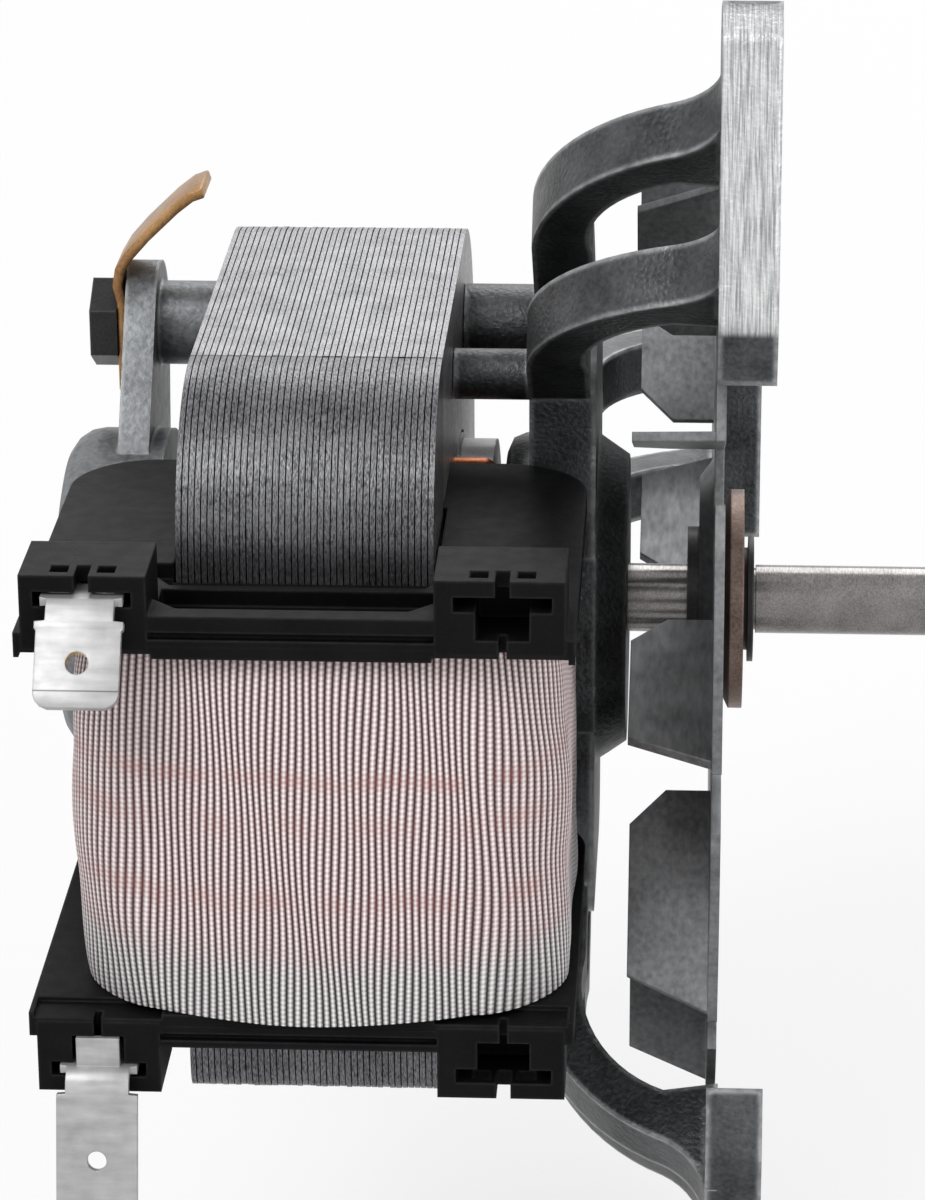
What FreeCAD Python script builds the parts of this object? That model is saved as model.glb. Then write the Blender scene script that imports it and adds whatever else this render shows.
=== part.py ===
import FreeCAD, Part
import math
import os

# Shaded-pole fan motor for an oven. The frame: origin on the shaft axis in the plane of the feet's
# mounting faces, +X along the shaft towards its output end, +Z up, millimetres.

V = FreeCAD.Vector

# Clearances
press_gap = 0.02
running_gap = 0.03
slip_gap = 0.2

# Laminated stator: a C-shaped core, and a straight limb that carries the coil
stack_x0 = -47.2
stack_length = 20.5
stack_x1 = stack_x0 + stack_length
stack_half_height = 29.9
joint_y = -24.9
limb_depth = 14.0
limb_corner_r = 13.0
core_back_y = 25.2
core_corner_r = 15.0
window_half_height = 17.3
window_back_y = -13.2
pole_bore_r = 14.6
bridge_slot_width = 3.0
bridge_thickness = 2.6

# Rotor and shaft
rotor_gap = 0.3
rotor_r = pole_bore_r - rotor_gap
shaft_r = 3.0
shaft_x0 = -59.4
shaft_x1 = 20.8
shaft_chamfer = 0.6
cage_bar_count = 16
cage_bar_r = 1.0
cage_bar_inset = 1.9
end_ring_length = 3.0
end_ring_step = 0.5
end_ring_bore_r = 6.5

# Bobbin and coil
flange_inner_z = 15.0
flange_thickness = 2.0
bobbin_x0 = -58.0
bobbin_x1 = -15.2
bobbin_back_y = -13.6
bobbin_front_y = -54.0
bobbin_back_corner_r = 7.0
bobbin_tube_wall = 1.0
rail_depth = 2.2
rail_top_z = 19.6
block_depth = 7.5
block_top_z = 22.5
left_block_width = 11.0
right_block_width = 11.5
coil_gap = 0.1
coil_x0 = -55.4
coil_x1 = -17.2
coil_back_y = -16.2
coil_front_y = -49.3
coil_corner_r = 6.0
coil_bulge = 1.2

# Terminals
tab_width = 6.3
tab_thickness = 0.8
tab_length = 9.5
tab_hole_r = 0.9
terminal_x = -53.6
terminal_root_z = 19.0
terminal_root_depth = 5.0
terminal_stand_off = 0.7
top_tab_slope = 51.0
bottom_tab_slope = 75.0
bottom_tab_length = 14.0
earth_tag_thickness = 0.9
earth_tag_length = 9.4
earth_tag_angle = 44.0
earth_tag_half = 5.4
earth_neck = 6.3

# Screws that clamp both brackets to the stack
screw_y = 9.0
screw_z = 22.0
screw_r = 1.95
screw_head_flats = 7.0
screw_head_length = 2.4
screw_engagement = 6.4
boss_r = 3.7
post_y = -9.0
post_z = 23.4
post_r = 2.15
pin_r = 1.2
pin_length = 3.0

# Rear bracket
rear_bar_x0 = -56.3
rear_bar_thickness = 2.7
rear_housing_x0 = -61.2
rear_housing_r = 14.4
rear_edge_r = 3.0
rear_waist_r = 11.0
rear_end_r = 5.5

# Front bracket: die-cast, with three feet on curved arms
front_bar_x0 = -20.3
front_bar_x1 = -14.7
front_bar_y0 = -12.0
front_bar_y1 = 13.0
front_bar_half_height = 26.5
front_bar_corner_r = 4.5
front_housing_x0 = -22.7
front_housing_r = 14.4
front_cone_x1 = -12.05
front_cone_r = 12.6
front_edge_r = 1.6
foot_thickness = 4.7
foot_inner_r = 45.7
hole_circle_r = 55.0
foot_hole_r = 2.5
arm_width = 5.0
arm_depth = 5.1
arm_root = 7.0

# Bearings
bearing_r = 6.0
bearing_length = 6.0
felt_r = 9.0
felt_length = 1.2
retainer_thickness = 0.8
housing_floor = 1.0

# Fan
fan_r = 42.6
sheet_thickness = 0.8
fan_face_x = -3.9
fan_dish_r = 12.3
fan_dish_depth = 1.2
blade_count = 10
blade_length = 19.3
blade_height = 7.5
blade_sweep = 18.0
blade_first = 249.1
blade_taper = 3.4
blade_corner_r = 3.0
notch_width = 5.0
hub_flange_r = 6.3
hub_flange_length = 1.0
hub_body_r = 4.5
hub_end_x = -1.6
washer_r = 9.6
washer_thickness = 1.2
washer_rise = 1.9
clip_r = 5.5
clip_thickness = 0.5
clip_groove_r = 2.7
clip_groove_play = 0.2


def box(x0, x1, y0, y1, z0, z1):
    return Part.makeBox(x1 - x0, y1 - y0, z1 - z0, V(x0, y0, z0))


def rod(radius, x0, x1, y=0.0, z=0.0):
    return Part.makeCylinder(radius, x1 - x0, V(x0, y, z), V(1, 0, 0))


def tube(outer_r, inner_r, x0, x1):
    return rod(outer_r, x0, x1).cut(rod(inner_r, x0 - 1, x1 + 1))


def turned(profile):
    # A closed (x, r) outline turned about the shaft axis
    wire = Part.makePolygon([V(x, 0, r) for x, r in profile + profile[:1]])
    return Part.Face(wire).revolve(V(0, 0, 0), V(1, 0, 0), 360)


def plate(outline, x0, x1):
    # A closed (y, z) outline given thickness along the shaft
    wire = Part.makePolygon([V(x0, y, z) for y, z in outline + outline[:1]])
    return Part.Face(wire).extrude(V(x1 - x0, 0, 0))


def edges_along(shape, direction, keep=None):
    # Straight edges parallel to one direction, filtered by where their middles lie
    found = []
    for edge in shape.Edges:
        if edge.Curve.TypeId != "Part::GeomLine":
            continue
        run = edge.Vertexes[1].Point.sub(edge.Vertexes[0].Point).normalize()
        if abs(abs(run.dot(direction)) - 1) > 1e-6:
            continue
        if keep is None or keep(edge.CenterOfMass):
            found.append(edge)
    return found


def mirrored_z(shape):
    return shape.mirror(V(0, 0, 0), V(0, 0, 1))


def tapered_link(y0, z0, r0, y1, z1, r1, x0, x1):
    # Two discs joined by their outer tangents
    span = math.hypot(y1 - y0, z1 - z0)
    heading = math.atan2(z1 - z0, y1 - y0)
    lean = math.acos((r0 - r1) / span)
    corners = []
    for y, z, r, side in ((y0, z0, r0, 1), (y1, z1, r1, 1), (y1, z1, r1, -1), (y0, z0, r0, -1)):
        angle = heading + side * lean
        corners.append((y + r * math.cos(angle), z + r * math.sin(angle)))
    body = plate(corners, x0, x1)
    return body.fuse([rod(r0, x0, x1, y0, z0), rod(r1, x0, x1, y1, z1)])


def rounded_section(x0, x1, y0, y1, radius, z):
    # A rounded rectangle wire at one height, for the coil's loft
    slab = box(x0, x1, y0, y1, z, z + 1)
    slab = slab.makeFillet(radius, edges_along(slab, V(0, 0, 1)))
    face = min(slab.Faces, key=lambda f: f.CenterOfMass.z)
    return face.OuterWire


# Stator core
def make_stator_core():
    core = box(stack_x0, stack_x1, joint_y, core_back_y, -stack_half_height, stack_half_height)
    back_edges = edges_along(core, V(1, 0, 0), lambda p: p.y > 0)
    core = core.makeFillet(core_corner_r, back_edges)
    cutters = [
        box(stack_x0 - 1, stack_x1 + 1, joint_y - 1, window_back_y, -window_half_height, window_half_height),
        rod(pole_bore_r, stack_x0 - 1, stack_x1 + 1),
        box(stack_x0 - 1, stack_x1 + 1, 0, core_back_y - bridge_thickness,
            -bridge_slot_width / 2, bridge_slot_width / 2),
    ]
    for side in (1, -1):
        cutters.append(rod(screw_r + slip_gap, stack_x0 - 1, stack_x1 + 1, screw_y, side * screw_z))
        cutters.append(rod(pin_r + slip_gap / 2, stack_x0 - 1, stack_x1 + 1, post_y, side * post_z))
    for turn in (1, -1):
        for y, z in (ring_inner_leg, ring_outer_leg):
            cutters.append(rod(ring_wire_r + slip_gap, stack_x0 - 1, stack_x1 + 1, turn * y, turn * z))
    return core.cut(cutters)


def make_coil_limb():
    front_y = joint_y - limb_depth
    limb = box(stack_x0, stack_x1, front_y, joint_y, -stack_half_height, stack_half_height)
    return limb.makeFillet(limb_corner_r, edges_along(limb, V(1, 0, 0), lambda p: p.y < joint_y - 1))


# Copper shading rings: each is a loop of thick wire round one pole tip
ring_wire_r = 1.2
ring_proud = 2.4
ring_inner_leg = (-9.0, 14.7)
ring_outer_leg = (-14.6, 11.5)


def make_shading_rings():
    x0 = stack_x0 - ring_proud
    x1 = stack_x1 + ring_proud
    rings = []
    for turn in (1, -1):
        inner = (turn * ring_inner_leg[0], turn * ring_inner_leg[1])
        outer = (turn * ring_outer_leg[0], turn * ring_outer_leg[1])
        solids = [rod(ring_wire_r, x0, x1, *inner), rod(ring_wire_r, x0, x1, *outer)]
        for x in (x0, x1):
            start = V(x, inner[0], inner[1])
            run = V(0, outer[0] - inner[0], outer[1] - inner[1])
            solids.append(Part.makeCylinder(ring_wire_r, run.Length, start, run))
            solids.append(Part.makeSphere(ring_wire_r, start))
            solids.append(Part.makeSphere(ring_wire_r, start.add(run)))
        rings.append(solids[0].fuse(solids[1:]).removeSplitter())
    return Part.makeCompound(rings)


# Rotor
def cage_positions():
    radius = rotor_r - cage_bar_inset
    for i in range(cage_bar_count):
        angle = 2 * math.pi * i / cage_bar_count
        yield radius * math.cos(angle), radius * math.sin(angle)


def make_rotor_core():
    core = tube(rotor_r, shaft_r + press_gap, stack_x0, stack_x1)
    bars = [rod(cage_bar_r + press_gap, stack_x0 - 1, stack_x1 + 1, y, z) for y, z in cage_positions()]
    return core.cut(bars)


def make_rotor_cage():
    outer_r = rotor_r - end_ring_step
    rear = tube(outer_r, end_ring_bore_r, stack_x0 - end_ring_length, stack_x0)
    front = tube(outer_r, end_ring_bore_r, stack_x1, stack_x1 + end_ring_length)
    bars = [rod(cage_bar_r, stack_x0 - 1, stack_x1 + 1, y, z) for y, z in cage_positions()]
    return rear.fuse([front] + bars)


def make_shaft():
    # Ground bar with a groove for the clip that holds the fan on
    shaft = rod(shaft_r, shaft_x0, shaft_x1)
    ends = [e for e in shaft.Edges if e.Curve.TypeId == "Part::GeomCircle"]
    groove_x1 = hub_end_x + clip_thickness + clip_groove_play
    return shaft.makeChamfer(shaft_chamfer, ends).cut(tube(shaft_r + 1, clip_groove_r, hub_end_x, groove_x1))


def make_thrust_spacers():
    outer_r = bearing_r - 1
    rear = tube(outer_r, shaft_r + press_gap, rear_bearing_x1 + slip_gap, stack_x0)
    front = tube(outer_r, shaft_r + press_gap, stack_x1, front_bearing_x0 - slip_gap)
    return Part.makeCompound([rear, front])


# Bobbin: two flanges on a square tube, with a terminal block on each front corner
left_block_x1 = bobbin_x0 + left_block_width
right_block_x0 = bobbin_x1 - right_block_width


def make_terminal_block(x0, x1):
    front_y = bobbin_front_y
    block = box(x0, x1, front_y, front_y + block_depth, flange_inner_z, block_top_z)
    block = block.makeFillet(0.6, edges_along(block, V(0, 1, 0), lambda p: p.z > block_top_z - 1))
    middle = (x0 + x1) / 2
    if x1 < stack_x0 + 1:
        middle = terminal_x
    slot_half = tab_width / 2 + slip_gap
    slot_z = terminal_root_z
    pocket_back = front_y + terminal_root_depth + slip_gap
    cutters = [
        box(middle - slot_half, middle + slot_half, front_y - 1, pocket_back,
            slot_z - tab_thickness / 2 - slip_gap, slot_z + tab_thickness / 2 + slip_gap),
        box(middle - 2.0, middle + 2.0, front_y - 1, pocket_back, slot_z - 2.2, slot_z),
        box(middle - 0.35, middle + 0.35, front_y - 1, front_y + 2.6, slot_z, block_top_z + 1),
        box(middle - 2.9, middle - 1.2, front_y + 1.6, front_y + 2.6, slot_z, block_top_z + 1),
        box(middle + 1.2, middle + 2.9, front_y + 1.6, front_y + 2.6, slot_z, block_top_z + 1),
    ]
    return block.cut(cutters)


def make_bobbin():
    flange_top = flange_inner_z + flange_thickness
    flange = box(bobbin_x0, bobbin_x1, bobbin_front_y, bobbin_back_y, flange_inner_z, flange_top)
    flange = flange.makeFillet(bobbin_back_corner_r,
                               edges_along(flange, V(0, 0, 1), lambda p: p.y > bobbin_back_y - 1))
    rail = box(left_block_x1 - 0.5, right_block_x0 + 0.5, bobbin_front_y, bobbin_front_y + rail_depth,
               flange_inner_z, rail_top_z)
    half = flange.fuse([rail, make_terminal_block(bobbin_x0, left_block_x1),
                        make_terminal_block(right_block_x0, bobbin_x1)])
    for block_x, side in ((left_block_x1, 1), (right_block_x0, -1)):
        # A sloping web joins each block to the flange beside the limb's channel
        reach = 3.0
        foot_y = bobbin_front_y + rail_depth
        points = [V(block_x, foot_y, flange_top), V(block_x + side * reach, foot_y, flange_top),
                  V(block_x, foot_y + reach, flange_top)]
        web = Part.Face(Part.makePolygon(points + points[:1])).extrude(V(0, 0, rail_top_z - flange_top))
        half = half.fuse(web)
    tube_x0 = stack_x0 - slip_gap - bobbin_tube_wall
    tube_x1 = stack_x1 + slip_gap + bobbin_tube_wall
    tube_y0 = joint_y - limb_depth - slip_gap - bobbin_tube_wall
    tube_y1 = joint_y + slip_gap + bobbin_tube_wall
    core_tube = box(tube_x0, tube_x1, tube_y0, tube_y1, -flange_inner_z, flange_inner_z)
    body = core_tube.fuse([half, mirrored_z(half)])
    channel = box(stack_x0 - slip_gap, stack_x1 + slip_gap, joint_y - limb_depth - slip_gap,
                  joint_y + slip_gap, -block_top_z - 1, block_top_z + 1)
    return body.cut(channel).removeSplitter()


def make_coil():
    levels = (-1.0, -0.5, 0.0, 0.5, 1.0)
    height = flange_inner_z - coil_gap
    wires = []
    for level in levels:
        grow = coil_bulge * (1 - level * level)
        wires.append(rounded_section(coil_x0 - grow, coil_x1 + grow, coil_front_y - grow, coil_back_y,
                                     coil_corner_r, level * height))
    winding = Part.makeLoft(wires, True, True)
    gap = slip_gap + bobbin_tube_wall + coil_gap
    hole = box(stack_x0 - gap, stack_x1 + gap, joint_y - limb_depth - gap, joint_y + gap,
               -flange_inner_z - 1, flange_inner_z + 1)
    return winding.cut(hole)


def make_terminal(length, slope, hole_from_end):
    # The blade lies flat in its block, then bends down in front of the coil
    half = tab_width / 2
    root_front = bobbin_front_y - terminal_stand_off
    root = box(terminal_x - half, terminal_x + half, root_front, bobbin_front_y + terminal_root_depth,
               terminal_root_z - tab_thickness / 2, terminal_root_z + tab_thickness / 2)
    tab = box(terminal_x - half, terminal_x + half, -length, 0, -tab_thickness / 2, tab_thickness / 2)
    tip_edges = edges_along(tab, V(0, 0, 1), lambda p: p.y < -length + 1)
    tab = tab.makeChamfer(1.0, tip_edges)
    tab = tab.cut(Part.makeCylinder(tab_hole_r, 4, V(terminal_x, -length + hole_from_end, -2), V(0, 0, 1)))
    tab.translate(V(0, root_front, terminal_root_z))
    tab.rotate(V(0, root_front, terminal_root_z), V(1, 0, 0), slope)
    knuckle = Part.makeCylinder(tab_thickness / 2, tab_width,
                                V(terminal_x - half, root_front, terminal_root_z), V(1, 0, 0))
    return root.fuse([tab, knuckle])


# Rear bracket
rear_bar_x1 = rear_bar_x0 + rear_bar_thickness
rear_bearing_x0 = rear_housing_x0 + housing_floor + felt_length
rear_bearing_x1 = rear_bearing_x0 + bearing_length
rear_housing_x1 = rear_bearing_x1 + retainer_thickness
front_bearing_x0 = front_housing_x0 + retainer_thickness
front_bearing_x1 = front_bearing_x0 + bearing_length


def make_rear_bracket():
    body = tapered_link(0, 0, rear_waist_r, screw_y, screw_z, rear_end_r, rear_bar_x0, rear_bar_x1)
    body = body.fuse(tapered_link(0, 0, rear_waist_r, screw_y, -screw_z, rear_end_r, rear_bar_x0, rear_bar_x1))
    # The housing's outer edge is rounded in steps of 22.5 degrees
    profile = [(rear_housing_x1, 0), (rear_housing_x1, rear_housing_r)]
    for step in range(5):
        angle = math.radians(step * 22.5)
        profile.append((rear_housing_x0 + rear_edge_r * (1 - math.sin(angle)),
                        rear_housing_r - rear_edge_r * (1 - math.cos(angle))))
    profile.append((rear_housing_x0, 0))
    body = body.fuse(turned(profile))
    for side in (1, -1):
        body = body.fuse(rod(boss_r, rear_bar_x0, stack_x0, screw_y, side * screw_z))
        body = body.cut(rod(screw_r + slip_gap, rear_bar_x0 - 1, stack_x0 + 1, screw_y, side * screw_z))
    seat = rod(bearing_r + press_gap, rear_bearing_x0, rear_housing_x1 + 1)
    felt_seat = rod(felt_r + press_gap, rear_housing_x0 + housing_floor, rear_bearing_x0 + 0.01)
    mouth = rod(felt_r + press_gap, rear_bearing_x1, rear_housing_x1 + 1)
    return body.cut([seat, felt_seat, mouth])


# Front bracket
def arm_profile(reach):
    # The arm's outline in (x, s): x along the shaft, s outwards from the bar
    foot_x = -foot_thickness
    left_x = front_bar_x0
    right_x = front_bar_x0 + arm_depth
    bend = reach - 20.0

    def point(x, s):
        return V(x, s, 0)

    outer = [
        Part.LineSegment(point(left_x, -arm_root), point(left_x, bend)),
        Part.Arc(point(left_x, bend), point(left_x + 4.2, reach - 9.3), point(left_x + 12.0, reach - 3.6)),
        Part.Arc(point(left_x + 12.0, reach - 3.6), point(foot_x - 1.4, reach - 1.9), point(foot_x, reach + 1.0)),
    ]
    inner = [
        Part.LineSegment(point(foot_x, reach + 1.0), point(foot_x + 1.0, reach + 1.0)),
        Part.LineSegment(point(foot_x + 1.0, reach + 1.0), point(foot_x + 1.0, reach - 9.0)),
        Part.LineSegment(point(foot_x + 1.0, reach - 9.0), point(left_x + 12.0, reach - 8.3)),
        Part.Arc(point(left_x + 12.0, reach - 8.3), point(left_x + 7.3, reach - 11.6), point(right_x, bend - 1.0)),
        Part.LineSegment(point(right_x, bend - 1.0), point(right_x, -arm_root)),
        Part.LineSegment(point(right_x, -arm_root), point(left_x, -arm_root)),
    ]
    edges = [curve.toShape() for curve in outer + inner]
    return Part.Face(Part.Wire(edges))


def make_arm(root_y, root_z, angle, reach):
    # The arm leaves the bar at (root_y, root_z) and runs at one angle in the (y, z) plane
    arm = arm_profile(reach).extrude(V(0, 0, arm_width))
    arm.translate(V(0, 0, -arm_width / 2))
    arm.rotate(V(0, 0, 0), V(1, 0, 0), angle)
    arm.translate(V(0, root_y, root_z))
    return arm


# Outlines of the feet in (y, z); the inner side is an arc just outside the fan
front_foot_outline = [(-33.2, 29.4), (-36.2, 36.3), (-31.9, 58.4), (-28.5, 60.3), (-12.0, 56.0), (-7.0, 51.5),
                      (-8.0, 38.0)]
rear_foot_outline = [(40.0, -10.5), (58.0, -10.5), (62.0, -6.5), (62.0, 6.5), (58.0, 10.5), (40.0, 10.5)]


def make_foot(outline, hole_y, hole_z):
    foot = plate(outline, -foot_thickness, 0)
    foot = foot.cut(rod(foot_inner_r, -foot_thickness - 1, 1))
    corners = edges_along(foot, V(1, 0, 0), lambda p: math.hypot(p.y, p.z) > foot_inner_r + 1)
    foot = foot.makeFillet(1.2, corners)
    return foot, rod(foot_hole_r, -foot_thickness - 12, 1, hole_y, hole_z)


hole_y = -hole_circle_r / 2
hole_z = hole_circle_r * math.sqrt(3) / 2
near_arm_root = (-9.5, 23.5)
near_arm_angle = 144.0
near_arm_reach = 29.5
far_arm_root = (8.0, 23.0)
far_arm_angle = 136.5
far_arm_reach = 38.5
rear_arm_root = (10.0, 6.5)
rear_arm_reach = 45.0


def make_front_bracket():
    bar = box(front_bar_x0, front_bar_x1, front_bar_y0, front_bar_y1, -front_bar_half_height, front_bar_half_height)
    bar = bar.makeFillet(front_bar_corner_r, edges_along(bar, V(1, 0, 0)))
    housing = turned([(front_housing_x0, 0), (front_housing_x0, front_housing_r - front_edge_r),
                      (front_housing_x0 + front_edge_r * 0.3, front_housing_r - front_edge_r * 0.3),
                      (front_housing_x0 + front_edge_r, front_housing_r), (front_bar_x1, front_housing_r),
                      (front_cone_x1, front_cone_r), (front_cone_x1, 0)])
    solids = [housing]
    holes = []
    for side in (1, -1):
        solids.append(rod(boss_r, stack_x1, front_bar_x0, screw_y, side * screw_z))
        solids.append(rod(post_r, stack_x1, front_bar_x0, post_y, side * post_z))
        solids.append(rod(pin_r, stack_x1 - pin_length, stack_x1, post_y, side * post_z))
        foot, hole = make_foot(front_foot_outline, hole_y, hole_z)
        near = make_arm(*near_arm_root, near_arm_angle, near_arm_reach)
        far = make_arm(*far_arm_root, far_arm_angle, far_arm_reach)
        for shape in (foot, near, far):
            solids.append(shape if side > 0 else mirrored_z(shape))
        holes.append(hole if side > 0 else mirrored_z(hole))
        holes.append(rod(screw_r + press_gap, stack_x1 - 1, stack_x1 + screw_engagement, screw_y, side * screw_z))
        solids.append(make_arm(rear_arm_root[0], side * rear_arm_root[1], 0, rear_arm_reach))
    foot, hole = make_foot(rear_foot_outline, hole_circle_r, 0)
    solids.append(foot)
    holes.append(hole)
    body = bar.fuse(solids)
    holes.append(rod(bearing_r + press_gap, front_bearing_x0, front_bearing_x1))
    holes.append(rod(felt_r + press_gap, front_housing_x0 - 1, front_bearing_x0))
    holes.append(rod(felt_r + press_gap, front_bearing_x1 - 0.01, front_bearing_x1 + felt_length))
    holes.append(rod(shaft_r + 0.6, front_housing_x0, front_cone_x1 + 1))
    return body.cut(holes).removeSplitter()


# Bearings with their oil felts and retainers
def make_bearing(x0):
    # A sintered bush with a barrel-shaped middle
    waist = bearing_r - 1.0
    end = 1.4
    profile = [(x0, shaft_r + running_gap), (x0, waist), (x0 + end, bearing_r),
               (x0 + bearing_length - end, bearing_r), (x0 + bearing_length, waist),
               (x0 + bearing_length, shaft_r + running_gap)]
    return turned(profile)


def make_bearing_felts():
    inner = shaft_r + 0.3
    rear = tube(felt_r, inner, rear_housing_x0 + housing_floor, rear_bearing_x0)
    front = tube(felt_r, inner, front_bearing_x1, front_bearing_x1 + felt_length)
    return Part.makeCompound([rear, front])


def make_bearing_retainers():
    inner = bearing_r - 0.8
    rear = tube(felt_r, inner, rear_bearing_x1, rear_bearing_x1 + retainer_thickness)
    front = tube(felt_r, inner, front_bearing_x0 - retainer_thickness, front_bearing_x0)
    return Part.makeCompound([rear, front])


# Screws, washer and earth tag
def make_screw(side):
    head_x1 = rear_bar_x0 - earth_tag_thickness
    head_x0 = head_x1 - screw_head_length
    corner_r = screw_head_flats / math.sqrt(3)
    corners = []
    for i in range(6):
        angle = math.pi / 6 + i * math.pi / 3
        corners.append((screw_y + corner_r * math.cos(angle), side * screw_z + corner_r * math.sin(angle)))
    head = plate(corners, head_x0, head_x1)
    shank = rod(screw_r, head_x1, stack_x1 + screw_engagement - 0.4, screw_y, side * screw_z)
    return head.fuse(shank)


def make_through_screws():
    return Part.makeCompound([make_screw(1), make_screw(-1)])


def make_plain_washer():
    washer = rod(screw_head_flats / 2 + 0.8, rear_bar_x0 - earth_tag_thickness, rear_bar_x0, screw_y, -screw_z)
    return washer.cut(rod(screw_r + slip_gap, rear_bar_x0 - 2, rear_bar_x0 + 1, screw_y, -screw_z))


def make_earth_tag():
    # A brass blade, clamped under the upper screw and bent over the stack
    half = tab_width / 2
    x1 = rear_bar_x0
    x0 = x1 - earth_tag_thickness
    eye = rod(earth_tag_half, x0, x1, screw_y, screw_z)
    neck = box(x0, x1, screw_y - half, screw_y + half, screw_z, screw_z + earth_neck)
    bend_z = screw_z + earth_neck
    tab = box(0, earth_tag_length, screw_y - half, screw_y + half, -earth_tag_thickness, 0)
    tab = tab.makeChamfer(1.5, edges_along(tab, V(0, 0, 1), lambda p: p.x > earth_tag_length - 1))
    tab.rotate(V(0, 0, 0), V(0, 1, 0), -earth_tag_angle)
    tab.translate(V(x1, 0, bend_z))
    knuckle = Part.makeCylinder(earth_tag_thickness, tab_width, V(x1, screw_y - half, bend_z), V(0, 1, 0))
    keep = box(x0, x1 + 0.01, screw_y - half, screw_y + half, bend_z - 0.01, bend_z + earth_tag_thickness)
    tag = eye.fuse([neck, tab, knuckle.common(keep)])
    return tag.cut(rod(screw_r + slip_gap, x0 - 1, x1 + 1, screw_y, screw_z))


# Fan: a stamped disc with folded blades
def make_blade(angle):
    fold_x = fan_face_x
    tip_x = fan_face_x - blade_height
    profile = [V(fold_x, 0, 0), V(fold_x, blade_length, 0), V(tip_x, blade_length - blade_taper, 0),
               V(tip_x, blade_corner_r, 0), V(tip_x + blade_corner_r, 0, 0)]
    blade = Part.Face(Part.makePolygon(profile + profile[:1])).extrude(V(0, 0, sheet_thickness))
    rim_y = fan_r * math.cos(math.radians(angle))
    rim_z = fan_r * math.sin(math.radians(angle))
    heading = math.radians(angle + blade_sweep)
    root_y = rim_y - blade_length * math.cos(heading)
    root_z = rim_z - blade_length * math.sin(heading)
    notch = box(fan_face_x - 3, fan_face_x + 1, 1.0, blade_length + 4, sheet_thickness,
                sheet_thickness + notch_width)
    for shape in (blade, notch):
        shape.rotate(V(0, 0, 0), V(1, 0, 0), angle + blade_sweep)
        shape.translate(V(0, root_y, root_z))
    return blade, notch


def make_fan():
    back_x = fan_face_x - sheet_thickness
    dish = fan_dish_depth
    slope = 1.6
    disc = turned([(back_x - dish, hub_body_r + press_gap), (back_x - dish, fan_dish_r - slope),
                   (back_x, fan_dish_r), (back_x, fan_r), (fan_face_x, fan_r), (fan_face_x, fan_dish_r),
                   (fan_face_x - dish, fan_dish_r - slope), (fan_face_x - dish, hub_body_r + press_gap)])
    blades = []
    notches = []
    for k in range(blade_count):
        blade, notch = make_blade(blade_first - k * 360.0 / blade_count)
        blades.append(blade)
        notches.append(notch)
    limit = rod(fan_r, fan_face_x - blade_height - 1, fan_face_x)
    return disc.cut(notches).fuse([blade.common(limit) for blade in blades]).removeSplitter()


dish_back_x = fan_face_x - sheet_thickness - fan_dish_depth
dish_face_x = fan_face_x - fan_dish_depth


def make_fan_hub():
    return turned([(dish_back_x - hub_flange_length, shaft_r + press_gap),
                   (dish_back_x - hub_flange_length, hub_flange_r), (dish_back_x, hub_flange_r),
                   (dish_back_x, hub_body_r), (hub_end_x, hub_body_r), (hub_end_x, shaft_r + press_gap)])


def make_fan_washer():
    # Dished, so that its middle presses on the fan and its rim stands clear
    inner = hub_body_r + press_gap
    x0 = dish_face_x
    x1 = x0 + washer_rise
    return turned([(x0, inner), (x0, inner + 1.2), (x1, washer_r), (x1 + washer_thickness, washer_r),
                   (x0 + washer_thickness, inner + 1.2), (x0 + washer_thickness, inner)])


def make_fan_clip():
    return tube(clip_r, clip_groove_r + press_gap, hub_end_x, hub_end_x + clip_thickness)


nodes = {
    "stator_core": make_stator_core(),
    "coil_limb": make_coil_limb(),
    "shading_rings": make_shading_rings(),
    "bobbin": make_bobbin(),
    "coil": make_coil(),
    "terminal_top": make_terminal(tab_length, top_tab_slope, 4.0),
    "terminal_bottom": mirrored_z(make_terminal(bottom_tab_length, -bottom_tab_slope, 4.0)),
    "rotor_core": make_rotor_core(),
    "rotor_cage": make_rotor_cage(),
    "shaft": make_shaft(),
    "thrust_spacers": make_thrust_spacers(),
    "rear_bracket": make_rear_bracket(),
    "front_bracket": make_front_bracket(),
    "rear_bearing": make_bearing(rear_bearing_x0),
    "front_bearing": make_bearing(front_bearing_x0),
    "bearing_felts": make_bearing_felts(),
    "bearing_retainers": make_bearing_retainers(),
    "through_screws": make_through_screws(),
    "plain_washer": make_plain_washer(),
    "earth_tag": make_earth_tag(),
    "fan": make_fan(),
    "fan_hub": make_fan_hub(),
    "fan_washer": make_fan_washer(),
    "fan_clip": make_fan_clip(),
}

os.makedirs("parts", exist_ok=True)
for name, shape in nodes.items():
    shape.exportStep("parts/" + name + ".step")
    low = shape.BoundBox
    print(name, len(shape.Solids), shape.isValid(), round(shape.Volume, 1),
          [round(v, 1) for v in (low.XMin, low.XMax, low.YMin, low.YMax, low.ZMin, low.ZMax)])
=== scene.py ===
"""Finishes, studio and camera for an oven fan motor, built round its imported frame."""

import logging
import math
import random
from dataclasses import dataclass, field
from enum import Enum
from functools import cached_property

import bpy
from mathutils import Matrix, Vector


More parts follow.
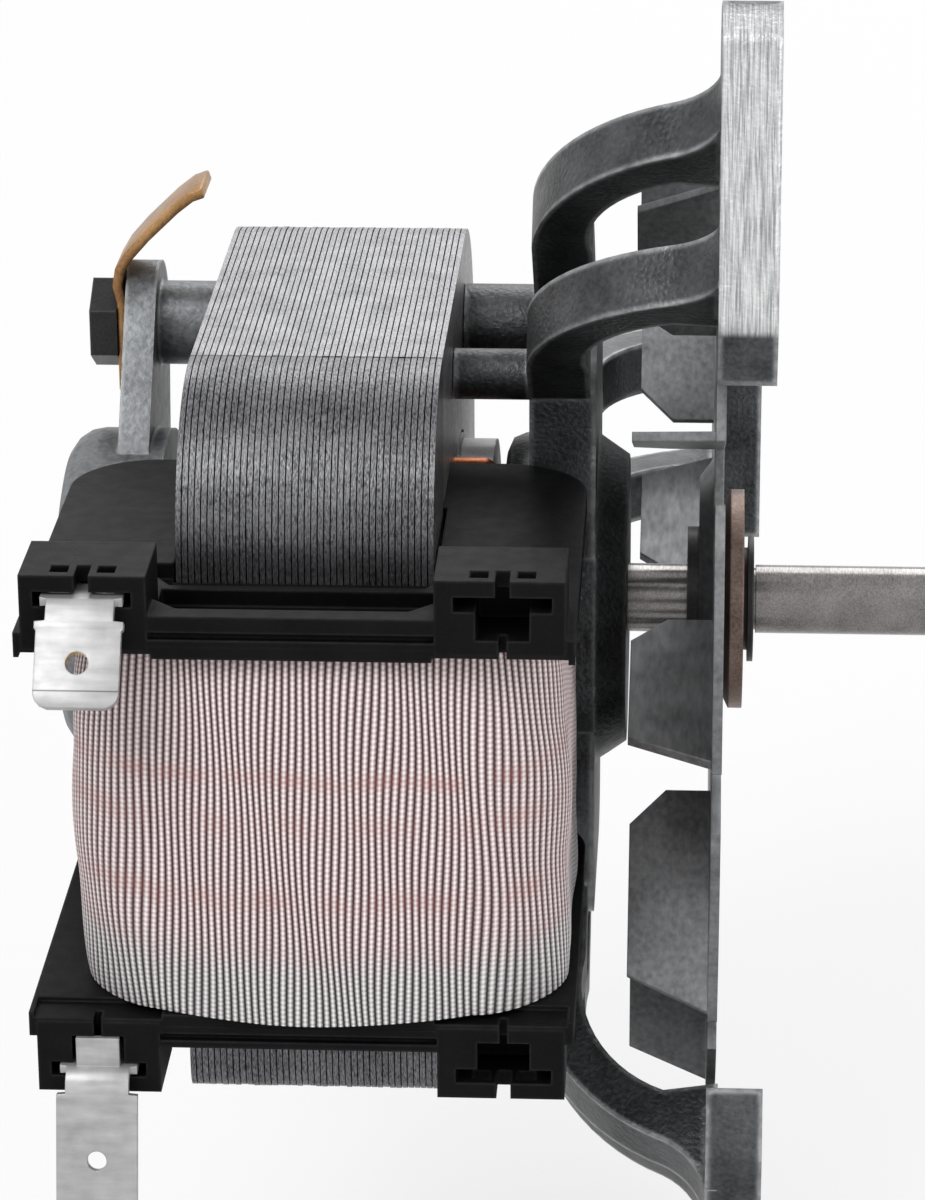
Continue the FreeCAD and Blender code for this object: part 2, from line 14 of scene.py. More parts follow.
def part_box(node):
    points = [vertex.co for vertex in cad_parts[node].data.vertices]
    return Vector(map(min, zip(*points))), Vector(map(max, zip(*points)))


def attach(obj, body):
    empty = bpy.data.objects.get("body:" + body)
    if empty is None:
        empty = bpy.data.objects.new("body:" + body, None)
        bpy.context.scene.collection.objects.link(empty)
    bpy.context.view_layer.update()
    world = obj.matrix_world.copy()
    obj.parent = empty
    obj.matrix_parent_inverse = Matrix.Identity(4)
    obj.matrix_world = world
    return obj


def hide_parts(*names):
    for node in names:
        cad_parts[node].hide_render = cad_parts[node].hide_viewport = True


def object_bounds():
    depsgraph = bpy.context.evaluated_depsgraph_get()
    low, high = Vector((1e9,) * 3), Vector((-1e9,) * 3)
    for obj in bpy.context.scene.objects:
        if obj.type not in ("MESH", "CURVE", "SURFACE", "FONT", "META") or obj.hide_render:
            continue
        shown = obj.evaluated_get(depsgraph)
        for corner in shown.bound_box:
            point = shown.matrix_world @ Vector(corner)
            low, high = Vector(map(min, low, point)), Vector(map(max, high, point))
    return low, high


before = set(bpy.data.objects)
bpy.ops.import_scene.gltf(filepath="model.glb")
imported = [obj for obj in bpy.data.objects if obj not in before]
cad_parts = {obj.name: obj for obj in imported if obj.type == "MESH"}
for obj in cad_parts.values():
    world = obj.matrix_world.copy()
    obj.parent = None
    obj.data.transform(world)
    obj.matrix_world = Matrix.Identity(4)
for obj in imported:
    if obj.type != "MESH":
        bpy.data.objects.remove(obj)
CAD_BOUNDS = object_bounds()

log = logging.getLogger("fan_motor")
Material = bpy.types.Material
Piece = bpy.types.Object
Socket = bpy.types.NodeSocket
MM = 0.001
MERGE_GAP = 0.002 * MM
SHARP_ANGLE = math.radians(50)
STRIP_ANGLE = math.radians(40)
BLADE_ANGLE = math.radians(35)
# The colour sockets of a Mix node, whose other sockets have the same names.
MIX_COLOUR_INPUTS = (6, 7)
MIX_COLOUR_OUTPUT = 2
# How much finer the roughness pattern is than the patches of colour.
ROUGHNESS_FINER = 3
# The share of a dark line's half width that stays fully dark.
LINE_CORE = 0.4


class Axis(Enum):
    """One of the three object coordinates."""

    X = 0
    Y = 1
    Z = 2


class Shader:
    """A small helper that adds and joins the nodes of one material or world."""

    def __init__(self, owner: bpy.types.ID, surface: str = "Principled BSDF") -> None:
        """Opens the owner's nodes.

        Args:
            owner: the material or the world.
            surface: the name of its main shader node.
        """
        owner.use_nodes = True
        self.nodes = owner.node_tree.nodes
        self.links = owner.node_tree.links
        self.surface = self.nodes[surface]

    @cached_property
    def coords(self) -> bpy.types.Node:
        """Returns the one Texture Coordinate node, made at its first use."""
        return self.add("ShaderNodeTexCoord")

    def add(self, kind: str, **settings: object) -> bpy.types.Node:
        """Adds a node and sets its properties.

        Args:
            kind: the node's type.
            settings: property names and values.

        Returns:
            The new node.
        """
        node = self.nodes.new(kind)
        for key, value in settings.items():
            setattr(node, key, value)
        return node

    def join(self, source: Socket, target: Socket) -> None:
        """Joins an output socket to an input socket."""
        self.links.new(source, target)

    def math(self, operation: str, first: object, second: object = 0.0, third: object = 0.0) -> Socket:
        """Adds a Math node.

        Args:
            operation: the node's operation.
            first, second, third: sockets or numbers.

        Returns:
            The node's output socket.
        """
        node = self.add("ShaderNodeMath", operation=operation)
        for index, value in enumerate((first, second, third)):
            if isinstance(value, (int, float)):
                node.inputs[index].default_value = value
            else:
                self.join(value, node.inputs[index])
        return node.outputs[0]

    def inverse(self, value: Socket) -> Socket:
        """Returns 1 less the value."""
        return self.math("SUBTRACT", 1.0, value)

    def away(self, value: Socket, place: float) -> Socket:
        """Returns how far the value is from a place."""
        return self.math("ABSOLUTE", self.math("SUBTRACT", value, place))

    def part(self, vector: Socket, index: int) -> Socket:
        """Returns one coordinate of a vector.

        Args:
            vector: the vector socket.
            index: 0, 1 or 2.

        Returns:
            The coordinate's socket.
        """
        split = self.add("ShaderNodeSeparateXYZ")
        self.join(vector, split.inputs[0])
        return split.outputs[index]

    def axis(self, which: Axis) -> Socket:
        """Returns one object coordinate in millimetres."""
        return self.math("MULTIPLY", self.part(self.coords.outputs["Object"], which.value), 1 / MM)

    def noise(self, scale: float, detail: float = 3.0, stretch: tuple = (1, 1, 1),
              source: Socket = None) -> Socket:
        """Adds a noise pattern on object coordinates.

        Args:
            scale: cells in each millimetre.
            detail: the number of octaves.
            stretch: how many times finer the pattern is along each axis.
            source: another coordinate socket, if any.

        Returns:
            The pattern's value socket, from 0 to 1.
        """
        mapping = self.add("ShaderNodeMapping")
        mapping.inputs["Scale"].default_value = [finer * scale / MM for finer in stretch]
        self.join(source or self.coords.outputs["Object"], mapping.inputs["Vector"])
        pattern = self.add("ShaderNodeTexNoise")
        pattern.inputs["Scale"].default_value = 1.0
        pattern.inputs["Detail"].default_value = detail
        self.join(mapping.outputs[0], pattern.inputs["Vector"])
        return pattern.outputs[0]

    def ramp(self, value: Socket, places: tuple, colours: tuple) -> Socket:
        """Adds a colour ramp.

        Args:
            value: the socket that drives it.
            places: the place of each colour, from 0 to 1.
            colours: the colours.

        Returns:
            The colour socket.
        """
        node = self.add("ShaderNodeValToRGB")
        elements = node.color_ramp.elements
        while len(elements) < len(places):
            elements.new(0.5)
        for element, place, colour in zip(elements, places, colours):
            element.position = place
            element.color = (*colour, 1.0)
        self.join(value, node.inputs[0])
        return node.outputs[0]

    def mix(self, factor: Socket, first: object, second: object) -> Socket:
        """Mixes two colours.

        Args:
            factor: a socket from 0 to 1.
            first, second: colour sockets or colours.

        Returns:
            The mixed colour socket.
        """
        node = self.add("ShaderNodeMix", data_type="RGBA")
        self.join(factor, node.inputs[0])
        for index, value in zip(MIX_COLOUR_INPUTS, (first, second)):
            if isinstance(value, tuple):
                node.inputs[index].default_value = (*value, 1.0)
            else:
                self.join(value, node.inputs[index])
        return node.outputs[MIX_COLOUR_OUTPUT]

    def step(self, value: Socket, low: float, high: float) -> Socket:
        """Returns a smooth step from 0 at low to 1 at high.

        Args:
            value: the socket that drives it.
            low, high: where the step starts and ends.

        Returns:
            The step's socket.
        """
        node = self.add("ShaderNodeMapRange", interpolation_type="SMOOTHSTEP")
        node.inputs["From Min"].default_value = low
        node.inputs["From Max"].default_value = high
        self.join(value, node.inputs["Value"])
        return node.outputs[0]

    def relief(self, height: Socket, depth_mm: float, edge_mm: float = 0.0) -> None:
        """Joins a bump, over softly rounded edges, to the shader's normal.

        Args:
            height: the height socket.
            depth_mm: the relief's full depth.
            edge_mm: the radius that sharp edges seem to have.
        """
        bump = self.add("ShaderNodeBump")
        bump.inputs["Distance"].default_value = depth_mm * MM
        bump.inputs["Strength"].default_value = 1.0
        self.join(height, bump.inputs["Height"])
        if edge_mm:
            bevel = self.add("ShaderNodeBevel", samples=4)
            bevel.inputs["Radius"].default_value = edge_mm * MM
            self.join(bevel.outputs[0], bump.inputs["Normal"])
        self.join(bump.outputs[0], self.surface.inputs["Normal"])


@dataclass(frozen=True)
class Finish:
    """A mottled surface with a fine grain, the base of the other finishes."""

    name: str
    dark: tuple
    light: tuple
    metallic: float = 0.0
    rough_low: float = 0.4
    rough_high: float = 0.55
    patch_scale: float = 0.25
    grain_scale: float = 4.0
    grain_depth: float = 0.02
    edge: float = 0.25
    # Colour of the painted highlight along the edges; none if empty.
    edge_highlight_colour: tuple = ()
    gloss: float = 0.5
    fine_share: float = 0.45
    patch_share: float = 0.75
    tone_range: tuple = (0.35, 0.85)
    # Reach, edge range and noise scale of the painted edge highlight.
    edge_highlight_reach: float = 1.3
    edge_highlight_range: tuple = (0.01, 0.16)
    edge_highlight_scale: float = 0.9

    def paint_edge_highlight(self, shader: Shader, tone: Socket) -> Socket:
        """Returns the colour with a lighter, painted highlight along the edges.

        Args:
            shader: the material's helper.
            tone: the colour socket below the painted highlight.

        Returns:
            The colour socket.
        """
        if not self.edge_highlight_colour:
            return tone
        soft = shader.add("ShaderNodeBevel", samples=6)
        soft.inputs["Radius"].default_value = self.edge * self.edge_highlight_reach * MM
        plain = shader.add("ShaderNodeNewGeometry")
        dot = shader.add("ShaderNodeVectorMath", operation="DOT_PRODUCT")
        shader.join(soft.outputs[0], dot.inputs[0])
        shader.join(plain.outputs["Normal"], dot.inputs[1])
        turned = shader.inverse(dot.outputs["Value"])
        # Painted highlight: lighter where the rounded normal turns away at an edge, broken up by noise.
        edge_highlight_mask = shader.math("MULTIPLY", shader.step(turned, *self.edge_highlight_range), shader.noise(self.edge_highlight_scale))
        return shader.mix(edge_highlight_mask, tone, self.edge_highlight_colour)

    def between(self, shader: Shader, fine: Socket, patches: Socket) -> Socket:
        """Returns a colour between dark and light.

        Args:
            shader: the material's helper.
            fine: the fine pattern.
            patches: the coarse pattern.

        Returns:
            The colour socket.
        """
        coarse = shader.math("MULTIPLY", patches, self.patch_share)
        blend = shader.math("MULTIPLY_ADD", fine, self.fine_share, coarse)
        return shader.ramp(blend, self.tone_range, (self.dark, self.light))

    def colour(self, shader: Shader) -> Socket:
        """Returns the colour socket of the mottled surface."""
        return self.between(shader, shader.noise(self.grain_scale, 2.0), shader.noise(self.patch_scale, 4.0))

    def height(self, shader: Shader) -> Socket:
        """Returns the height socket of the fine grain."""
        return shader.noise(self.grain_scale)

    def build(self) -> Material:
        """Makes the material.

        Returns:
            The finished material.
        """
        material = bpy.data.materials.new(self.name)
        shader = Shader(material)
        shader.surface.inputs["Metallic"].default_value = self.metallic
        shader.surface.inputs["Specular IOR Level"].default_value = self.gloss
        shader.join(self.paint_edge_highlight(shader, self.colour(shader)), shader.surface.inputs["Base Color"])
        rough = shader.add("ShaderNodeMapRange")
        rough.inputs["To Min"].default_value = self.rough_low
        rough.inputs["To Max"].default_value = self.rough_high
        shader.join(shader.noise(self.patch_scale * ROUGHNESS_FINER), rough.inputs["Value"])
        shader.join(rough.outputs[0], shader.surface.inputs["Roughness"])
        shader.relief(self.height(shader), self.grain_depth, self.edge)
        return material


@dataclass(frozen=True)
class BrushedMetal(Finish):
    """Metal with fine scratches that run along one axis."""

    fine_share: float = 0.6
    patch_share: float = 0.5
    tone_range: tuple = (0.3, 0.8)
    along: Axis = Axis.Z
    stretch: float = 30.0
    scratch_scale: float = 0.25

    def pattern(self, shader: Shader) -> Socket:
        """Returns long scratches along the brushing axis.

        Args:
            shader: the material's helper.

        Returns:
            The pattern's socket.
        """
        finer = [self.stretch] * len(Axis)
        finer[self.along.value] = 1.0
        return shader.noise(self.scratch_scale, 3.0, tuple(finer))

    def colour(self, shader: Shader) -> Socket:
        """Returns the scratched colour."""
        return self.between(shader, self.pattern(shader), shader.noise(self.patch_scale))

    def height(self, shader: Shader) -> Socket:
        """Returns the height of the scratches."""
        return self.pattern(shader)


@dataclass(frozen=True)
class TinnedBlade(BrushedMetal):
    """Dull tin over brass, bare at the edge of the hole, with a dark, scuffed line before the tip."""

    bare: tuple = (0.55, 0.36, 0.10)
    hole: tuple = (-52.6, -57.5, 15.9)
    bare_edge: tuple = (0.92, 0.97)
    line: tuple = (0.16, 0.16, 0.16)
    line_z: float = 14.35
    line_half: float = 0.07

    def colour(self, shader: Shader) -> Socket:
        """Returns the tin with bare brass in the hole and the line near the tip.

        Args:
            shader: the material's helper.

        Returns:
            The colour socket.
        """
        apart = shader.add("ShaderNodeVectorMath", operation="DISTANCE")
        shader.join(shader.coords.outputs["Object"], apart.inputs[0])
        apart.inputs[1].default_value = [value * MM for value in self.hole]
        reach = shader.math("MULTIPLY", apart.outputs["Value"], 1 / MM)
        bare = shader.inverse(shader.step(reach, *self.bare_edge))
        beside = shader.away(shader.axis(Axis.Z), self.line_z)
        clear = shader.step(beside, self.line_half * LINE_CORE, self.line_half)
        lined = shader.mix(clear, self.line, BrushedMetal.colour(self, shader))
        return shader.mix(bare, lined, self.bare)


@dataclass(frozen=True)
class GroundCasting(Finish):
    """Dark casting whose front foot edge was ground bright."""

    ground_dark: tuple = (0.26, 0.265, 0.27)
    ground_light: tuple = (0.66, 0.665, 0.67)
    ground_range: tuple = (0.32, 0.62)
    scratch_scale: float = 0.3
    scratch_stretch: tuple = (24.0, 1.0, 1.0)
    foot_back_x: tuple = (-4.7, -4.6)
    foot_front_y: tuple = (-30.0, -28.0)
    ground_low_z: tuple = (35.2, 36.0)
    facing: tuple = (0.3, 0.45)

    def colour(self, shader: Shader) -> Socket:
        """Returns the casting's colour with the ground edge over it.

        Args:
            shader: the material's helper.

        Returns:
            The colour socket.
        """
        cast = Finish.colour(self, shader)
        scratches = shader.noise(self.scratch_scale, 4.0, self.scratch_stretch)
        bright = shader.ramp(scratches, self.ground_range, (self.ground_dark, self.ground_light))
        inside = shader.step(shader.axis(Axis.X), *self.foot_back_x)
        front = shader.inverse(shader.step(shader.axis(Axis.Y), *self.foot_front_y))
        upper = shader.step(shader.axis(Axis.Z), *self.ground_low_z)
        normal = shader.add("ShaderNodeNewGeometry").outputs["Normal"]
        towards = shader.math("MULTIPLY", shader.part(normal, Axis.Y.value), -1.0)
        ahead = shader.step(towards, *self.facing)
        zone = shader.math("MULTIPLY", shader.math("MULTIPLY", inside, front), upper)
        return shader.mix(shader.math("MULTIPLY", zone, ahead), cast, bright)


@dataclass(frozen=True)
class SheetEdges(Finish):
    """Sheared edges of the stator's sheets, with burrs, varnish stains and the butt joint's dark line."""

    tone_range: tuple = (0.40, 0.66)
    burr_scale: float = 2.6
    burr_stretch: tuple = (5.0, 1.0, 1.0)
    stain_scale: float = 0.3
    stain_share: float = 0.35
    both_shares: float = 1.1
    joint: tuple = (0.01, 0.01, 0.01)
    joint_y: float = -24.9
    joint_width: float = 0.22

    def colour(self, shader: Shader) -> Socket:
        """Returns a bright steel with dark burrs and stains.

        Args:
            shader: the material's helper.

        Returns:
            The colour socket.
        """
        burr = shader.noise(self.burr_scale, 3.0, self.burr_stretch)
        share = shader.math("MULTIPLY", burr, self.both_shares - self.stain_share)
        stain = shader.noise(self.stain_scale, 4.0)
        blend = shader.math("MULTIPLY_ADD", stain, self.stain_share, share)
        metal = shader.ramp(blend, self.tone_range, (self.dark, self.light))
        beside = shader.away(shader.axis(Axis.Y), self.joint_y)
        clear = shader.step(beside, self.joint_width * LINE_CORE, self.joint_width)
        return shader.mix(clear, self.joint, metal)


@dataclass(frozen=True)
class WovenTape(Finish):
    """Pale glass tape over a winding: upright ribs of small beads, with reddish bands."""

    rib_pitch: float = 0.55
    bead_pitch: float = 0.42
    crest: float = 0.6
    rib_share: float = 0.84
    bead_share: float = 0.16
    # Near-black colour of the grooves between the ribs, which is painted shade; the foot's tones start with
    # one too.
    groove: tuple = (0.075, 0.045, 0.045)
    foot_tones: tuple = ((0.045, 0.042, 0.042), (0.43, 0.408, 0.411), (0.82, 0.792, 0.80))
    cover_stops: tuple = (0.22, 0.72, 0.97)
    foot_fade: tuple = (-11.5, -6.5)
    wobble: float = 2.0
    wobble_scale: float = 0.00006
    wobble_stretch: tuple = (1, 0.2, 1)
    blotch_scale: float = 0.0003
    blotch_stretch: tuple = (1, 0.6, 1)
    blotch_range: tuple = (0.34, 0.66)
    band: tuple = (0.30, 0.10, 0.085)
    band_on_groove: float = 1.15
    band_on_crest: float = 0.40
    bands: tuple = ((5.2, 1.1, 0.62), (1.6, 1.6, 0.34), (-4.4, 1.5, 0.42), (-8.6, 1.2, 0.2))

    @staticmethod
    def wave(shader: Shader, value: Socket, pitch: float) -> Socket:
        """Returns a wave that is 0 at whole pitches and 1 between them."""
        turned = shader.math("COSINE", shader.math("MULTIPLY", value, 2 * math.pi / pitch))
        return shader.math("MULTIPLY_ADD", turned, -0.5, 0.5)

    def weave(self, shader: Shader) -> tuple:
        """Returns the waves of the ribs and of the beads along them.

        Args:
            shader: the material's helper.

        Returns:
            The socket of the ribs and that of the beads.
        """
        around = shader.part(shader.coords.outputs["UV"], 0)
        along = shader.part(shader.coords.outputs["UV"], 1)
        rib = shader.math("POWER", self.wave(shader, around, self.rib_pitch), self.crest)
        number = shader.math("FLOOR", shader.math("DIVIDE", around, self.rib_pitch))
        shift = shader.math("MULTIPLY", number, self.bead_pitch / 2)
        bead = self.wave(shader, shader.math("ADD", along, shift), self.bead_pitch)
        return rib, bead

    def banded(self, shader: Shader, tone: Socket, cover: Socket, level: Socket) -> Socket:
        """Lays the reddish bands over the tape.

        Args:
            shader: the material's helper.
            tone: the tape's colour.
            cover: how much of the rib covers the groove.
            level: the height up the tape, in millimetres.

        Returns:
            The colour socket.
        """
        blotches = shader.noise(self.blotch_scale, 3.0, self.blotch_stretch, shader.coords.outputs["UV"])
        fall = self.band_on_crest - self.band_on_groove
        weight = shader.math("MULTIPLY_ADD", cover, fall, self.band_on_groove)
        patchy = shader.math("MULTIPLY", shader.step(blotches, *self.blotch_range), weight)
        for place, width, strength in self.bands:
            core = shader.inverse(shader.step(shader.away(level, place), 0.0, width))
            share = shader.math("MULTIPLY", core, strength)
            tone = shader.mix(shader.math("MULTIPLY", share, patchy), tone, self.band)
        return tone

    def colour(self, shader: Shader) -> Socket:
        """Returns the tape's colour.

        Args:
            shader: the material's helper.

        Returns:
            The colour socket.
        """
        rib, bead = self.weave(shader)
        uv = shader.coords.outputs["UV"]
        ribs = shader.math("MULTIPLY", rib, self.rib_share)
        cover = shader.math("MULTIPLY_ADD", bead, self.bead_share, ribs)
        # The ramps darken the tape from the crests into the grooves: painted shade between the ribs.
        rosy = shader.ramp(cover, self.cover_stops, (self.groove, self.dark, self.light))
        grey = shader.ramp(cover, self.cover_stops, self.foot_tones)
        sway = shader.noise(self.wobble_scale, 3.0, self.wobble_stretch, uv)
        wobble = shader.math("MULTIPLY_ADD", sway, 2 * self.wobble, -self.wobble)
        level = shader.math("ADD", shader.part(uv, 1), wobble)
        tone = shader.mix(shader.step(level, *self.foot_fade), grey, rosy)
        return self.banded(shader, tone, cover, level)

    def height(self, shader: Shader) -> Socket:
        """Returns the height of the beads on the ribs."""
        rib, bead = self.weave(shader)
        return shader.math("MULTIPLY_ADD", bead, 0.5, shader.math("MULTIPLY", rib, 0.5))


def deselect() -> None:
    """Deselects everything and leaves edit mode."""
    if bpy.context.object and bpy.context.object.mode != "OBJECT":
        bpy.ops.object.mode_set(mode="OBJECT")
    bpy.ops.object.select_all(action="DESELECT")


def take(piece: Piece) -> None:
    """Selects one piece alone and makes it the active one.

    Args:
        piece: the object.
    """
    deselect()
    piece.select_set(True)
    bpy.context.view_layer.objects.active = piece


def settle(piece: Piece, name: str) -> Piece:
    """Names a piece and puts its place, turn and size into its mesh.

    Args:
        piece: the object.
        name: its new name.

    Returns:
        The same object.
    """
    take(piece)
    piece.name = name
    bpy.ops.object.transform_apply(location=True, rotation=True, scale=True)
    return piece


def finish_piece(piece: Piece, material: Material, body: str) -> None:
    """Gives a piece its material and the body that it rides on.

    Args:
        piece: the object.
        material: its finish.
        body: the body's name.
    """
    piece.data.materials.clear()
    piece.data.materials.append(material)
    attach(piece, body)
    log.info("%s rides on %s", piece.name, body)


def whole_mesh() -> None:
    """Opens the active piece in edit mode with all of it selected."""
    bpy.ops.object.mode_set(mode="EDIT")
    bpy.ops.mesh.select_all(action="SELECT")


def merge_doubles() -> None:
    """Merges the active piece's loose triangles."""
    whole_mesh()
    bpy.ops.mesh.remove_doubles(threshold=MERGE_GAP)
    bpy.ops.object.mode_set(mode="OBJECT")


def face_outwards() -> None:
    """Turns all faces of the active piece outwards."""
    whole_mesh()
    bpy.ops.mesh.normals_make_consistent(inside=False)
    bpy.ops.object.mode_set(mode="OBJECT")


def loose_copy(node: str) -> Piece:
    """Returns a copy of a node's solid with a mesh of its own.

    Args:
        node: the node's name.

    Returns:
        The copy.
    """
    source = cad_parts[node]
    piece = source.copy()
    piece.data = source.data.copy()
    piece.parent = None
    piece.matrix_world = source.matrix_world.copy()
    bpy.context.collection.objects.link(piece)
    return piece


def prism(x: tuple, y: tuple, z: tuple) -> Piece:
    """Makes an upright prism from its outline.

    Args:
        x, y: the coordinates of its corners, in millimetres.
        z: the heights of its foot and top, in millimetres.

    Returns:
        The prism.
    """
    deselect()
    bpy.ops.mesh.primitive_circle_add(vertices=len(x), radius=1, fill_type="NGON")
    piece = bpy.context.object
    for vertex, corner_x, corner_y in zip(piece.data.vertices, x, y):
        vertex.co = (corner_x * MM, corner_y * MM, z[0] * MM)
    whole_mesh()
    bpy.ops.mesh.extrude_region_move(TRANSFORM_OT_translate={"value": (0, 0, (z[1] - z[0]) * MM)})
    face_outwards()
    return settle(piece, "prism")


def block(x: tuple, y: tuple, z: tuple) -> Piece:
    """Makes a block from its two sides, its front and back, and its foot and top."""
    return prism((x[0], x[1], x[1], x[0]), (y[0], y[0], y[1], y[1]), z)


def combine(body: Piece, tool: Piece, operation: str) -> None:
    """Joins or cuts one piece with another, which is used up.

    Args:
        body: the piece that stays.
        tool: the piece that is used up.
        operation: UNION or DIFFERENCE.
    """
    take(body)
    modifier = body.modifiers.new("joint", "BOOLEAN")
    modifier.operation = operation
    modifier.solver = "EXACT"
    modifier.object = tool
    bpy.ops.object.modifier_apply(modifier="joint")
    bpy.data.objects.remove(tool)


def ribbon(left: list, right: list, thickness: float, rounding: float) -> Piece:
    """Makes a bent strip of sheet between two edges.

    Args:
        left, right: the points of its two edges, in millimetres.
        thickness, rounding: the sheet's thickness and its edges' radius, in metres.

    Returns:
        The strip.
    """
    deselect()
    bpy.ops.mesh.primitive_grid_add(x_subdivisions=1, y_subdivisions=len(left) - 1, size=1)
    strip = bpy.context.object
    for index, pair in enumerate(zip(left, right)):
        for side, point in enumerate(pair):
            strip.data.vertices[2 * index + side].co = Vector(point) * MM
    solid = strip.modifiers.new("thickness", "SOLIDIFY")
    solid.thickness = thickness
    solid.offset = 0
    bevel = strip.modifiers.new("edges", "BEVEL")
    bevel.width = rounding
    bevel.segments = 2
    bevel.limit_method = "ANGLE"
    bevel.angle_limit = SHARP_ANGLE
    for modifier in ("thickness", "edges"):
        bpy.ops.object.modifier_apply(modifier=modifier)
    face_outwards()
    return strip


@dataclass
class LaminatedStack:
    """The stator's sheets, each a thin copy of its solid's outline."""

    node: str
    sheets: int = 40
    sheet_share: float = 0.80
    jitter: float = 0.035 * MM
    seed: int = 7
    foot_centre: tuple = ()
    foot_squareness: float = 0.2
    foot_reach: float = 12.5 * MM

    def square_foot(self, sheet: Piece) -> None:
        """Makes the lower front corner nearly square, as the photograph shows it.

        Args:
            sheet: the sheet.
        """
        centre_y, centre_z = self.foot_centre
        for vertex in sheet.data.vertices:
            across = centre_y - vertex.co.y
            down = centre_z - vertex.co.z
            reach = math.hypot(across, down)
            if across > 0 and down > 0 and reach > self.foot_reach:
                vertex.co.y = centre_y - reach * (across / reach) ** self.foot_squareness
                vertex.co.z = centre_z - reach * (down / reach) ** self.foot_squareness

    def build(self, material: Material) -> None:
        """Makes the stack from thin sheets.

        Args:
            material: the finish of the sheets.
        """
        low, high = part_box(self.node)
        pitch = (high[0] - low[0]) / self.sheets
        squeeze = pitch * self.sheet_share / (high[0] - low[0])
        rng = random.Random(self.seed)
        deselect()
        copies = []
        for index in range(self.sheets):
            sheet = loose_copy(self.node)
            shift_y = rng.uniform(-1, 1) * self.jitter
            shift_z = rng.uniform(-1, 1) * self.jitter
            offset = Vector((low[0] + index * pitch, shift_y, shift_z))
            if self.foot_centre:
                self.square_foot(sheet)
            for vertex in sheet.data.vertices:
                vertex.co.x = (vertex.co.x - low[0]) * squeeze
                vertex.co += offset
            copies.append(sheet)
        for sheet in copies:
            sheet.select_set(True)
        bpy.context.view_layer.objects.active = copies[0]
        bpy.ops.object.join()
        stack = settle(bpy.context.object, self.node + "_sheets")
        merge_doubles()
        finish_piece(stack, material, "frame")
        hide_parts(self.node)


@dataclass(frozen=True)
class Wave:
    """A sine over the winding, with its turns round the winding and up it."""

    around: float
    up: float
    start: float = 0.0
    weight: float = 1.0

    def at(self, share: float, level: float) -> float:
        """Returns the wave's value at a place."""
        return self.weight * math.sin(self.around * share + self.up * level + self.start)


